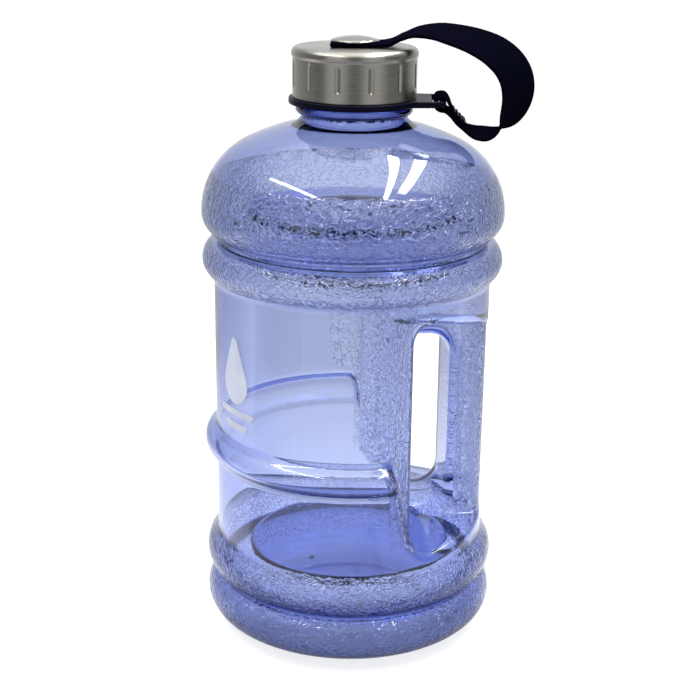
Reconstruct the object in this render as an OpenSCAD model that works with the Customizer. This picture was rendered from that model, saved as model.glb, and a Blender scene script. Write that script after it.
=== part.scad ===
// Large water jug: blow-moulded body with a pinched-through grip, screw lid in a
// pressed steel shell, and a webbing strap from the lid's rivet to a neck ring.
// Millimetres. The origin is the centre of the base, on the surface it stands on;
// +Z is up and the grip is on the +X side.

/* [Body] */
// Largest radius, at the crests of the rings and of the shoulder
crest_r = 65; // [64:0.5:66]
// Outer radius of the plain wall between the rings
body_r = 60; // [59:0.5:61]
// Thickness of the blown wall
wall = 1.5; // [1:0.1:2]
// Height of the lowest ring's crest
low_ring_z = 14.5; // [14:0.5:15]
// Distance from the lowest ring's crest to the next one's
ring_pitch = 19.8; // [19:0.1:20.5]
// Section radius of the two lower rings
low_ring_round = 10.3; // [10:0.1:10.6]
// Height of the upper ring's crest
top_ring_z = 169.9; // [168:0.1:172]
// Section radius of the upper ring
top_ring_round = 8.4; // [8:0.1:9.2]
// Height of the shoulder's crest
shoulder_z = 189.8; // [189:0.1:191]
// Radius of the flat that the jug stands on
foot_r = 47; // [46:0.5:48]
// Height of the hollow under the base
push_up = 9; // [6:0.5:10]

/* [Half rib] */
// Height of the rib's middle
rib_z = 87.5; // [84:0.5:92]
// Section radius of the rib
rib_round = 6.4; // [6:0.1:6.8]
// Angle from the grip to each end of the rib
rib_end = 76.6; // [72:0.2:80]

/* [Grip] */
// Distance from the jug's axis to the wall behind the finger gap
gap_in = 19.5; // [18:0.5:21]
// Distance from the jug's axis to the inner side of the grip column
gap_out = 42; // [41:0.5:43]
// Bottom of the finger gap on the jug's centre plane
gap_low = 57; // [55:1:60]
// Top of the finger gap on the centre plane
gap_high = 137; // [134:1:140]
// How far the floor of the grip pocket falls towards each side
floor_fall = 9; // [6:1:10]
// How far the roof of the grip pocket rises towards each side
roof_rise = 20; // [16:1:21]
// Corner radius of the finger gap
gap_round = 10; // [8:1:11]
// Half the width of the grip column
column_half = 20; // [18:0.5:22]
// Outer face of the grip column, from the axis
column_r = 58.8; // [58:0.1:59]

/* [Neck] */
// Outer radius of the neck
neck_r = 21.5; // [21.5:0.1:21.6]
// Bore radius of the mouth
mouth_r = 19.5; // [19:0.1:19.8]
// Outer radius of the bead under the neck ring
bead_r = 24.8; // [24.4:0.1:25]
// Crest radius of the bottle's thread
thread_r = 23; // [22.8:0.1:23]
// Rise of the thread in one turn
pitch = 4.2; // [4.2:0.1:4.2]

/* [Lid] */
// Lower edge of the lid
lid_z = 238.2; // [238.2:0.1:238.2]
// Height of the lid
lid_h = 20.8; // [20.8:0.1:20.8]
// Outer radius of the lid's skirt
lid_r = 26.1; // [26.1:0.1:26.1]
// Outer radius of the lid's rounded shoulder
lid_shoulder_r = 26.6; // [26.5:0.1:26.8]
// Thickness of the steel
steel = 0.5; // [0.5:0.1:0.5]
// Number of pressed dimples round the skirt
dimples = 12; // [10:1:14]
// Length of a dimple
dimple_h = 11.5; // [10:0.5:12]
// Radius of the tool that presses a dimple
dimple_round = 1.5; // [1.4:0.1:1.6]
// Depth of a dimple
dimple_depth = 0.6; // [0.5:0.1:0.6]

/* [Strap] */
// Width of the webbing
web_w = 20; // [18:0.5:20]
// Thickness of the webbing
web_t = 1.4; // [1.2:0.1:1.4]
// Direction in which the strap leaves, seen from above, from the grip
strap_turn = -9; // [-20:1:20]
// Radius of the rivet's head
rivet_r = 10.1; // [9.5:0.1:10.5]
// Radius of the rivet's shank
shank_r = 3; // [2.8:0.1:3.2]
// Outer radius of the neck ring
ring_r = 27.7; // [27.4:0.1:28]
// Thickness of the neck ring
ring_t = 2.6; // [2.4:0.1:2.6]

/* [Hidden] */
$fn = 96;

// Colours
plastic = [0.46, 0.50, 0.86];
ink = [0.86, 0.87, 0.93];
steel_grey = [0.72, 0.71, 0.68];
natural_pp = [0.88, 0.88, 0.86];
seal_white = [0.93, 0.93, 0.92];
black = [0.05, 0.05, 0.06];

// Body profile: second ring, and the grooves between the bulges
mid_ring_z = low_ring_z + ring_pitch;
low_groove_r = 57.6;
top_groove_r = 58.0;
low_ring_c = crest_r - low_ring_round;
top_ring_c = crest_r - top_ring_round;
foot_round = 8;
// The shoulder's lower half is a small arc, its upper half a larger one that
// runs tangent into the crown arc, whose centre is on the axis.
shoulder_low = 10;
shoulder_high = 33.2;
crown_r = 107.2;
shoulder_c = crest_r - shoulder_high;
crown_z = shoulder_z - sqrt(pow(crown_r - shoulder_high, 2) - pow(shoulder_c, 2));
crown_angle = atan(shoulder_c / (shoulder_z - crown_z));
push_up_r = 38;

// Neck finish, from the dome to the lip
lip_z = 253.5;
neck_fillet = 3;
neck_fillet_z = crown_z
    + sqrt(pow(crown_r + neck_fillet, 2) - pow(neck_r + neck_fillet, 2));
bead_h = 3.8;
bead_z = 231.4;
thread_turns = 1.25;
thread_z = 243;
thread_base = 1.8;
thread_crest = 0.8;
steps_per_turn = 30;

// Grip pocket
pocket_side = 62;
fold_x = 9.4;
fold_y = 59.2;
facet_y = 50.1;
facet_low = 57;
facet_fold_low = 97;

// Lid stack, from the lip upwards
gasket_t = 1.5;
liner_top = lip_z + gasket_t;
liner_plate = 1.6;
liner_out_r = lid_r - steel - 0.05;
liner_in_r = 23.4;
liner_thread_r = 22;
liner_h = liner_top + liner_plate - lid_z - 0.3;
lid_top = lid_z + lid_h;
skirt_h = 16.6;
lid_corner = 2.6;
dimple_low = 4;
dimple_phase = 7.3;
dimple_c = lid_r - dimple_depth + dimple_round;

// Rivet stack, from the lid's top upwards
spacer_z = lid_top + 0.05;
spacer_t = 0.4;
web_z = spacer_z + spacer_t + 0.02;
head_z = web_z + web_t + 0.03;
head_h = 2.4;
shank_gap = 0.05;
washer_t = 0.8;

// Neck ring, under the lid and above the bead
ring_z = 235.5;
ring_in_r = 22.2;
tongue_end = 38.2;
tongue_half = 12.4;
slot_in = 32.6;
slot_out = 35.6;
slot_half = web_w / 2 + 0.7;

// Middle line of the webbing in the strap's own plane, as [x, z], from the sewn
// tail over and under the tongue's bar, round the loop and in under the rivet.
// The last value turns the width away from level, in degrees.
web_path = [
    [46.6, 228.0, 0], [43.4, 230.7, 0], [40.8, 234.0, 0], [39.6, 237.0, 0],
    [38.2, 238.9, 0], [36.4, 239.3, 0], [34.6, 238.7, 0], [33.9, 236.8, 0],
    [34.4, 235.0, 0], [36.0, 234.1, 0], [38.0, 233.7, 0], [40.4, 231.9, 0],
    [43.0, 228.9, 0], [46.2, 226.2, 0], [51.5, 223.8, 10], [57.5, 223.9, 24],
    [62.9, 227.0, 38], [66.6, 232.6, 44], [68.4, 239.4, 45], [67.6, 246.4, 44],
    [64.0, 252.6, 42], [58.0, 257.6, 40], [50.4, 261.2, 36], [42.0, 263.7, 31],
    [33.4, 265.2, 25], [25.6, 264.9, 18], [19.6, 263.0, 10], [15.0, 260.8, 4],
    [11.4, 260.17, 0], [6.0, 260.17, 0], [0.0, 260.17, 0], [-10.0, 260.17, 0]
];
// The width also leans out of level by this share of its turn.
web_lean = 0.42;
stitch_r = 0.3;
stitch_rows = 4;
stitch_count = 6;

// Printed mark on the plain wall, opposite the rib's middle
ink_t = 0.15;
mark_z = 118;
mark_turn = -152;

// ---------- shared shapes ----------

// Area between two circles and the straight line that touches both outside.
module tangent_fill(a, ra, b, rb) {
    d = a - b;
    lie = atan2(d[1], d[0]) - acos((rb - ra) / norm(d));
    n = [cos(lie), sin(lie)];
    polygon([a, a + ra * n, b + rb * n, b]);
}

// Half profile of the body, moved inwards by w.
module body_half(w) {
    difference() {
        union() {
            translate([0, w]) square([foot_r, foot_round]);
            translate([foot_r, foot_round]) circle(foot_round - w);
            tangent_fill([low_ring_c, low_ring_z], low_ring_round - w,
                         [foot_r, foot_round], foot_round - w);
            translate([0, foot_round]) square([foot_r + 4, low_ring_z]);
            for (z = [low_ring_z, mid_ring_z])
                translate([low_ring_c, z]) circle(low_ring_round - w);
            translate([0, low_ring_z]) square([low_groove_r - w, ring_pitch]);
            translate([0, mid_ring_z]) square([body_r - w, top_ring_z - mid_ring_z]);
            translate([top_ring_c, top_ring_z]) circle(top_ring_round - w);
            translate([0, top_ring_z]) square([top_groove_r - w, shoulder_z - top_ring_z]);
            translate([crest_r - shoulder_low, shoulder_z]) circle(shoulder_low - w);
            intersection() {
                translate([shoulder_c, shoulder_z]) circle(shoulder_high - w);
                translate([0, shoulder_z]) square([crest_r, crest_r]);
            }
            intersection() {
                translate([0, crown_z]) circle(crown_r - w);
                polygon([[0, crown_z], [0, 2 * shoulder_z],
                         [(2 * shoulder_z - crown_z) * tan(crown_angle), 2 * shoulder_z]]);
            }
        }
        translate([-2 * crest_r, -crest_r]) square([2 * crest_r, 5 * crest_r]);
        base_round = (pow(push_up_r, 2) + pow(push_up, 2)) / (2 * push_up);
        translate([0, push_up - base_round]) circle(base_round + w);
    }
}

// Half profile of the neck's outside, with the fillet at the dome and the bead.
module neck_half() {
    translate([0, shoulder_z]) square([neck_r, lip_z - shoulder_z]);
    difference() {
        translate([0, neck_fillet_z - 2 * neck_fillet])
            square([neck_r + neck_fillet, 2 * neck_fillet]);
        translate([neck_r + neck_fillet, neck_fillet_z]) circle(neck_fillet);
    }
    translate([0, bead_z]) square([bead_r - bead_h / 2, bead_h]);
    translate([bead_r - bead_h / 2, bead_z + bead_h / 2]) circle(bead_h / 2);
}

// Rounded bar that runs part of the way round the wall, away from the grip: a full
// ring, kept only inside a window with round ends.
module half_rib(w) {
    turn = 360 - 2 * rib_end;
    window = rib_round + 1;
    intersection() {
        rotate_extrude() translate([crest_r - rib_round, rib_z]) circle(rib_round - w);
        union() {
            rotate([0, 0, rib_end]) rotate_extrude(angle = turn)
                translate([body_r / 2, rib_z - window]) square([body_r, 2 * window]);
            for (a = [rib_end, rib_end + turn])
                rotate([0, 0, a]) translate([body_r / 2, 0, rib_z])
                    rotate([0, 90, 0]) cylinder(h = body_r, r = window - w);
        }
    }
}

// Upright outline of the pocket: open towards the grip, with rounded inner corners.
module pocket_outline(x, low, high, corner) {
    translate([x + corner, low]) square([2 * crest_r, high - low]);
    translate([x, low + corner]) square([crest_r, high - low - 2 * corner]);
    for (z = [low + corner, high - corner]) translate([x + corner, z]) circle(corner);
}

// Pocket on both sides of the jug, meeting in the middle.
module grip_pocket(w) {
    for (side = [-1, 1]) hull() {
        rotate([90, 0, 0]) linear_extrude(0.1, center = true)
            pocket_outline(gap_in - w, gap_low - w, gap_high + w, gap_round + w, $fn = 32);
        translate([0, side * pocket_side, 0])
            rotate([90, 0, 0]) linear_extrude(0.1, center = true)
                pocket_outline(gap_in - w, gap_low - floor_fall - w,
                               gap_high + roof_rise + w, gap_round + w, $fn = 32);
    }
}

// Flat facet from the wall into each side of the pocket, cut off on the slant below.
module pocket_facets(w) {
    fall = atan2(facet_fold_low - facet_low, gap_in - fold_x);
    for (side = [0, 1]) mirror([0, side, 0]) difference() {
        translate([0, 0, facet_low - w])
            linear_extrude(gap_high + roof_rise - facet_low + 2 * w)
                polygon([[fold_x - w, fold_y - w / 2], [gap_in + 0.1, facet_y - w],
                         [gap_in + 0.1, crest_r + 10], [fold_x - w, crest_r + 10]]);
        translate([fold_x - w, 0, facet_fold_low - w]) rotate([0, fall, 0])
            translate([-crest_r, 0, -2 * crest_r]) cube([3 * crest_r, 2 * crest_r, 2 * crest_r]);
    }
}

// The hollow column that is held, inside its pocket.
module grip_column(w) {
    mid = (column_r + gap_out) / 2;
    corner = (column_r - gap_out) / 2 - w;
    intersection() {
        union() {
            linear_extrude(shoulder_z) translate([mid, 0]) {
                square([2 * corner, 2 * (column_half - w - corner)], center = true);
                for (y = [-1, 1])
                    translate([0, y * (column_half - w - corner)]) circle(corner);
            }
            linear_extrude(shoulder_z) translate([gap_in, w - column_half])
                square([mid - gap_in, 2 * (column_half - w)]);
        }
        rotate([90, 0, 0]) linear_extrude(4 * crest_r, center = true) difference() {
            translate([gap_in - crest_r / 2, 0]) square([2 * crest_r, shoulder_z]);
            gap_outline(w);
        }
    }
}

// Upright outline of the finger gap, rounded at all four corners.
module gap_outline(w) {
    corner = gap_round + w;
    low = gap_low - w;
    high = gap_high + w;
    deep = gap_out + w;
    translate([gap_in - crest_r, low]) square([deep - corner - gap_in + crest_r, high - low]);
    translate([gap_in - crest_r, low + corner])
        square([deep - gap_in + crest_r, high - low - 2 * corner]);
    for (z = [low + corner, high - corner]) translate([deep - corner, z]) circle(corner);
}

// Whole body as a solid, moved inwards by w. Its outside less its inside is the wall.
module body_form(w) {
    difference() {
        union() {
            rotate_extrude() body_half(w);
            half_rib(w);
        }
        difference() {
            union() {
                grip_pocket(w);
                pocket_facets(w);
            }
            grip_column(w);
        }
    }
}

// One thread turn after another: a ridge that follows a helix. root and tip are the
// radii of its base and crest.
module helix_ridge(root, tip, z0, turns, base, crest) {
    count = ceil(turns * steps_per_turn);
    ring = function (i)
        let (t = i / count, a = 360 * turns * t,
             fade = min(1, 0.15 + 8 * min(t, 1 - t)),
             r = root + (tip - root) * fade, z = z0 + pitch * turns * t)
        [for (p = [[root, -base / 2], [r, -crest / 2], [r, crest / 2], [root, base / 2]])
            [p[0] * cos(a), p[0] * sin(a), z + p[1]]];
    inward = sign(tip - root) < 0;
    pts = [for (i = [0:count]) each ring(i)];
    sides = [for (i = [0:count - 1], k = [0:3])
        let (a = 4 * i + k, b = 4 * i + (k + 1) % 4)
        each [[a, a + 4, b], [b, a + 4, b + 4]]];
    faces = concat(sides, [[0, 1, 2], [0, 2, 3]],
                   [[4 * count + 2, 4 * count + 1, 4 * count], [4 * count + 3, 4 * count + 2, 4 * count]]);
    flip = inward ? faces : [for (f = faces) [f[2], f[1], f[0]]];
    polyhedron(pts, flip);
}

// ---------- bottle ----------

module jug_body() {
    color(plastic, 0.6) union() {
        difference() {
            union() {
                body_form(0);
                rotate_extrude() neck_half();
            }
            body_form(wall);
            translate([0, 0, shoulder_z]) cylinder(h = lip_z, r = mouth_r);
        }
        helix_ridge(neck_r - 0.4, thread_r, thread_z, thread_turns, thread_base, thread_crest);
    }
}

// Plain emblem: a water drop over two bars.
module printed_mark() {
    drop_r = 9;
    drop_tip = 24;
    lean = acos(drop_r / drop_tip);
    color(ink) intersection() {
        translate([0, 0, mark_z - crest_r]) difference() {
            cylinder(h = 2 * crest_r, r = body_r + ink_t);
            cylinder(h = 2 * crest_r, r = body_r);
        }
        rotate([0, 0, mark_turn]) translate([0, 0, mark_z]) rotate([90, 0, 90])
            linear_extrude(2 * crest_r) {
                translate([0, 4]) circle(drop_r);
                translate([0, 4]) polygon([[0, drop_tip],
                    [-drop_r * sin(lean), drop_r * cos(lean)],
                    [drop_r * sin(lean), drop_r * cos(lean)]]);
                for (bar = [[-9, 22], [-15, 14]]) {
                    translate([-bar[1] / 2, bar[0] - 1.5]) square([bar[1], 3]);
                    for (x = [-1, 1]) translate([x * bar[1] / 2, bar[0]]) circle(1.5);
                }
            }
    }
}

// ---------- lid ----------

// Upright round-ended bar at each dimple.
module dimple_bars(r) {
    low = lid_z + dimple_low + dimple_round;
    run = dimple_h - 2 * dimple_round;
    for (i = [0:dimples - 1])
        rotate([0, 0, dimple_phase + i * 360 / dimples]) translate([dimple_c, 0, low]) {
            cylinder(h = run, r = r, $fn = 32);
            sphere(r, $fn = 32);
            translate([0, 0, run]) sphere(r, $fn = 32);
        }
}

// Half profile of the shell's outside, moved inwards by w.
module shell_half(w) {
    shoulder_low_z = lid_z + skirt_h;
    translate([0, lid_z]) square([lid_r - w, lid_h - lid_corner]);
    translate([0, shoulder_low_z + 0.8])
        square([lid_shoulder_r - w, lid_h - skirt_h - 0.8 - lid_corner]);
    polygon([[0, shoulder_low_z], [lid_r - w, shoulder_low_z - w / 2],
             [lid_shoulder_r - w, shoulder_low_z + 0.8 - w / 2],
             [lid_shoulder_r - w, shoulder_low_z + 0.9], [0, shoulder_low_z + 0.9]]);
    translate([0, lid_z]) square([lid_shoulder_r - lid_corner, lid_h - w]);
    translate([lid_shoulder_r - lid_corner, lid_top - lid_corner]) circle(lid_corner - w);
}

module lid_shell() {
    color(steel_grey) difference() {
        union() {
            difference() {
                rotate_extrude() shell_half(0);
                translate([0, 0, -0.01]) rotate_extrude() shell_half(steel);
                translate([0, 0, lid_z - 1]) cylinder(h = 2, r = lid_r - steel);
            }
            intersection() {
                dimple_bars(dimple_round + steel);
                translate([0, 0, lid_z]) cylinder(h = lid_h, r = lid_r - steel / 2);
            }
        }
        dimple_bars(dimple_round);
        cylinder(h = 2 * lid_z, r = shank_r + shank_gap);
    }
}

module lid_liner() {
    color(natural_pp) union() {
        difference() {
            translate([0, 0, lid_z + 0.3]) cylinder(h = liner_h, r = liner_out_r);
            translate([0, 0, lid_z]) cylinder(h = liner_top - lid_z, r = liner_in_r);
            dimple_bars(dimple_round + steel + 0.05);
        }
        helix_ridge(liner_in_r + 0.4, liner_thread_r, thread_z - pitch / 2, 1,
                    thread_base, thread_crest);
        translate([0, 0, liner_top + liner_plate - 0.01]) difference() {
            cylinder(h = lid_top - steel - liner_top - liner_plate - 0.05, r = liner_out_r - 3);
            translate([0, 0, 0.2]) cylinder(h = lid_corner, r = rivet_r - 3);
        }
    }
}

module lid_gasket() {
    color(seal_white) translate([0, 0, lip_z + 0.02]) difference() {
        cylinder(h = gasket_t - 0.04, r = liner_in_r - 0.1);
        translate([0, 0, -1]) cylinder(h = 2 * gasket_t + 1, r = mouth_r - 0.5);
    }
}

// ---------- strap ----------

module strap_rivet() {
    crown = (pow(rivet_r, 2) + pow(head_h - 0.8, 2)) / (2 * (head_h - 0.8));
    tail = lid_top - steel - washer_t - 0.7;
    color(steel_grey) union() {
        translate([0, 0, head_z]) intersection() {
            cylinder(h = head_h, r = rivet_r);
            translate([0, 0, head_h - crown]) sphere(crown);
        }
        translate([0, 0, tail]) cylinder(h = head_z - tail + 0.5, r = shank_r);
        translate([0, 0, tail]) cylinder(h = 0.6, r = shank_r + 1.2);
    }
}

module rivet_washer() {
    color(steel_grey) translate([0, 0, lid_top - steel - washer_t - 0.05]) difference() {
        cylinder(h = washer_t, r = rivet_r - 4);
        translate([0, 0, -1]) cylinder(h = washer_t + 2, r = shank_r + shank_gap);
    }
}

module strap_spacer() {
    color(black) translate([0, 0, spacer_z]) difference() {
        cylinder(h = spacer_t, r = rivet_r - 0.6);
        translate([0, 0, -1]) cylinder(h = spacer_t + 2, r = shank_r + shank_gap);
    }
}

// Middle point, level-turned width and thickness directions of the webbing at i.
function web_at(i) = [web_path[i][0], 0, web_path[i][1]];
function web_tangent(i) =
    let (a = max(i - 1, 0), b = min(i + 1, len(web_path) - 1), d = web_at(b) - web_at(a))
    d / norm(d);
function web_across(i) =
    let (turn = web_path[i][2],
         w = [sin(turn), cos(turn), sin(turn) * web_lean],
         t = web_tangent(i), flat = w - (w * t) * t)
    flat / norm(flat) * norm(w) * min(1, norm(flat) * 1.25);
function web_corner(i, side, face) =
    let (w = web_across(i), n = cross(w, web_tangent(i)))
    web_at(i) + side * web_w / 2 * w / norm(w) + face * web_t / 2 * n / norm(n);

module strap_webbing() {
    last = len(web_path) - 1;
    pts = [for (i = [0:last]) each [web_corner(i, -1, -1), web_corner(i, 1, -1),
                                     web_corner(i, 1, 1), web_corner(i, -1, 1)]];
    faces = concat([[0, 1, 2], [0, 2, 3]],
        [for (i = [0:last - 1], k = [0:3])
            let (a = 4 * i + k, b = 4 * i + (k + 1) % 4) each [[a, a + 4, b], [b, a + 4, b + 4]]],
        [[4 * last + 2, 4 * last + 1, 4 * last], [4 * last + 3, 4 * last + 2, 4 * last]]);
    color(black) difference() {
        rotate([0, 0, strap_turn]) polyhedron(pts, faces);
        translate([0, 0, web_z - 1]) cylinder(h = web_t + 2, r = shank_r + 0.1);
    }
}

// Rows of thread across the sewn overlap.
module strap_stitching() {
    a = web_at(0);
    b = web_at(2);
    d = b - a;
    out = cross([0, 1, 0], d / norm(d));
    color(black) rotate([0, 0, strap_turn])
        for (row = [0:stitch_rows - 1], i = [0:stitch_count - 1])
            translate(a + d * (0.14 + 0.24 * row) + out * (web_t / 2))
                translate([0, (i - (stitch_count - 1) / 2) * web_w / (stitch_count + 0.5), 0])
                    rotate([90, 0, 0]) cylinder(h = 2, r = stitch_r, center = true, $fn = 16);
}

module neck_ring() {
    color(black) translate([0, 0, ring_z]) rotate([0, 0, strap_turn]) linear_extrude(ring_t)
        difference() {
            union() {
                circle(ring_r);
                translate([ring_in_r, 2 - tongue_half])
                    square([tongue_end - ring_in_r, 2 * tongue_half - 4]);
                translate([ring_in_r - 8, -tongue_half])
                    square([tongue_end - ring_in_r + 6, 2 * tongue_half]);
                for (y = [-1, 1])
                    translate([tongue_end - 2, y * (tongue_half - 2)]) circle(2);
            }
            circle(ring_in_r);
            translate([slot_in, -slot_half]) square([slot_out - slot_in, 2 * slot_half]);
        }
}

jug_body();
printed_mark();
lid_shell();
lid_liner();
lid_gasket();
strap_rivet();
rivet_washer();
strap_spacer();
strap_webbing();
strap_stitching();
neck_ring();
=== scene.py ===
"""Looks for the large water jug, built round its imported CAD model.

The jug's wall is meshed from a signed distance field, outside and inside, so that the
see-through plastic refracts as a real blown wall does. Lengths in the shape code are
millimetres, and MM turns them into metres where a mesh is made.
"""

import bmesh
import bpy
import numpy as np
from mathutils import Matrix, Vector
from mathutils.geometry import delaunay_2d_cdt


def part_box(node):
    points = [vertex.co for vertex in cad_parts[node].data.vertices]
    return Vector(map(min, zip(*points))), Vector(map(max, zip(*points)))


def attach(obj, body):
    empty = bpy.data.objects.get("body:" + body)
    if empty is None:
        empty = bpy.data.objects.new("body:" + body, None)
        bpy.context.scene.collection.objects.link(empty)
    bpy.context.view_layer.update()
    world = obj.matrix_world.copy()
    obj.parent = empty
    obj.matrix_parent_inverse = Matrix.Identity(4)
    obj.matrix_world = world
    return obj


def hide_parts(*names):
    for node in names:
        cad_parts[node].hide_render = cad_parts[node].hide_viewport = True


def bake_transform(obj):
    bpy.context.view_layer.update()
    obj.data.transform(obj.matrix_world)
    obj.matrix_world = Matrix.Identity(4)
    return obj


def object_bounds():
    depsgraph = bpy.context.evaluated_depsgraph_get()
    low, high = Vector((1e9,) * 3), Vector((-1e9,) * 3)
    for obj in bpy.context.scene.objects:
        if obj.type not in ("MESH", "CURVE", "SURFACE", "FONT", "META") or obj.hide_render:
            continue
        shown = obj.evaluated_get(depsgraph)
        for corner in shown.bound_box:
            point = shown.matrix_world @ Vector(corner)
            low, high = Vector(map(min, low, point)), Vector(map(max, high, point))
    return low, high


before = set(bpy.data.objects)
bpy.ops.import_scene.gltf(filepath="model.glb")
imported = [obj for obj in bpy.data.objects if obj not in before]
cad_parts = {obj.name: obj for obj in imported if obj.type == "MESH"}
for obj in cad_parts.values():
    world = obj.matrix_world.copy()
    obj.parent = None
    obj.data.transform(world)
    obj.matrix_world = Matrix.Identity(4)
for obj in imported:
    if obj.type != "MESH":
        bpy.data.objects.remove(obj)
cad_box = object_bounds()
MM = 0.001
TAU = 2 * np.pi


def node_box(node):
    """Lowest and highest corners of a CAD node in millimetres."""
    low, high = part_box(node)
    return np.array(low) / MM, np.array(high) / MM


# ---------------------------------------------------------------- sizes

BODY_HIGH = node_box("jug_body")[1]
LID_LOW, LID_HIGH = node_box("lid_shell")
RIVET_LOW, RIVET_HIGH = node_box("strap_rivet")
RING_LOW, RING_HIGH = node_box("neck_ring")

CREST = BODY_HIGH[1]            # radius at the crests of the rings
LIP = BODY_HIGH[2]              # height of the bottle's lip
WALL = 1.5
FOOT_THICKENING = 1.2           # most that the wall gains inside the rings at the foot
BODY_R = CREST - 5
LOW_RING, MID_RING, TOP_RING, SHOULDER = 14.5, 34.3, 169.9, 189.8
LOW_ROUND, TOP_ROUND = 10.3, 8.4
LOW_GROOVE, TOP_GROOVE = 57.6, 58.0
FOOT_R, FOOT_ROUND = 47.0, 8.0
SHOULDER_LOW, SHOULDER_HIGH, CROWN_R = 10.0, 33.2, 107.2
SHOULDER_C = CREST - SHOULDER_HIGH
CROWN_Z = SHOULDER - np.sqrt((CROWN_R - SHOULDER_HIGH) ** 2 - SHOULDER_C ** 2)
PUSH_UP, PUSH_UP_R = 9.0, 38.0
NECK_R, MOUTH_R = 21.5, 19.5
BEAD_R, BEAD_Z, BEAD_H = 24.8, 231.4, 3.8
THREAD_Z, THREAD_PITCH, THREAD_TURNS = 243.0, 4.2, 1.25
RIB_Z, RIB_ROUND, RIB_END = 87.5, 6.4, np.radians(76.6)
GAP_IN, GAP_OUT, GAP_LOW, GAP_HIGH, GAP_ROUND = 19.5, 42.0, 57.0, 137.0, 10.0
FLOOR_FALL, ROOF_RISE, POCKET_SIDE = 9.0, 20.0, 62.0
COLUMN_HALF, COLUMN_R = 20.0, 58.8
FOLD = (9.4, 59.2)
FACET_EDGE = (19.5, 50.1)
FACET_LOW, FACET_FOLD_LOW = 57.0, 97.0


# ---------------------------------------------------------------- distance fields

def smin(a, b, k):
    """Union of two fields with a fillet about k wide."""
    h = np.clip(0.5 + 0.5 * (b - a) / k, 0, 1)
    return b + (a - b) * h - k * h * (1 - h)


def smax(a, b, k):
    """Intersection of two fields with its edge rounded about k wide."""
    return -smin(-a, -b, k)


def smoothstep(x, low, high):
    """0 below low, 1 above high, and a smooth step between them."""
    t = np.clip((x - low) / (high - low), 0, 1)
    return t * t * (3 - 2 * t)


def rect(x, y, x0, x1, y0, y1, r=0.0):
    """Rectangle with corners rounded by r."""
    qx = np.abs(x - (x0 + x1) / 2) - (x1 - x0) / 2 + r
    qy = np.abs(y - (y0 + y1) / 2) - (y1 - y0) / 2 + r
    return np.hypot(np.maximum(qx, 0), np.maximum(qy, 0)) + np.minimum(np.maximum(qx, qy), 0) - r


def disc(x, y, cx, cy, r):
    """Disc of radius r round (cx, cy)."""
    return np.hypot(x - cx, y - cy) - r


def shoulder_field(r, z):
    """Dome: a crown arc about the axis, running tangent into the shoulder's arc."""
    in_crown = r * (SHOULDER - CROWN_Z) < SHOULDER_C * (z - CROWN_Z)
    crown = disc(r, z, 0, CROWN_Z, CROWN_R)
    side = disc(r, z, SHOULDER_C, SHOULDER, SHOULDER_HIGH)
    return np.maximum(np.where(in_crown, crown, side), SHOULDER - z)


def foot_field(r, z):
    """Foot: the rounded heel, joined to the lowest ring by a straight flank."""
    dx, dz = CREST - LOW_ROUND - FOOT_R, LOW_RING - FOOT_ROUND
    t = np.clip(((r - FOOT_R) * dx + (z - FOOT_ROUND) * dz) / (dx * dx + dz * dz), 0, 1)
    heel = np.hypot(r - FOOT_R - t * dx, z - FOOT_ROUND - t * dz)
    heel = heel - FOOT_ROUND - t * (LOW_ROUND - FOOT_ROUND)
    return np.minimum(heel, rect(r, z, -FOOT_R, FOOT_R, 0, 2 * FOOT_ROUND + 4))


def revolved(r, z):
    """Body of revolution, without the neck."""
    low_c, top_c = CREST - LOW_ROUND, CREST - TOP_ROUND
    d = smin(disc(r, z, low_c, LOW_RING, LOW_ROUND), disc(r, z, low_c, MID_RING, LOW_ROUND), 3.0)
    d = smin(d, rect(r, z, -BODY_R, BODY_R, MID_RING, TOP_RING), 3.0)
    d = smin(d, disc(r, z, top_c, TOP_RING, TOP_ROUND), 3.0)
    top = np.minimum(shoulder_field(r, z), disc(r, z, CREST - SHOULDER_LOW, SHOULDER, SHOULDER_LOW))
    d = smin(d, top, 3.0)
    fill = np.minimum(rect(r, z, -LOW_GROOVE, LOW_GROOVE, LOW_RING, MID_RING),
                      rect(r, z, -TOP_GROOVE, TOP_GROOVE, TOP_RING, SHOULDER))
    d = np.minimum(np.minimum(d, fill), foot_field(r, z))
    base_round = (PUSH_UP_R ** 2 + PUSH_UP ** 2) / (2 * PUSH_UP)
    return smax(d, -disc(r, z, 0, PUSH_UP - base_round, base_round), 3.0)


def rib_field(x, y, z, r):
    """Half ring round the front wall, with ball ends."""
    away = np.abs(np.arctan2(y, x)) >= RIB_END
    c = CREST - RIB_ROUND
    ring = np.hypot(r - c, z - RIB_Z)
    ends = np.sqrt((x - c * np.cos(RIB_END)) ** 2 + (np.abs(y) - c * np.sin(RIB_END)) ** 2
                   + (z - RIB_Z) ** 2)
    return np.where(away, ring, ends) - RIB_ROUND


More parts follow.
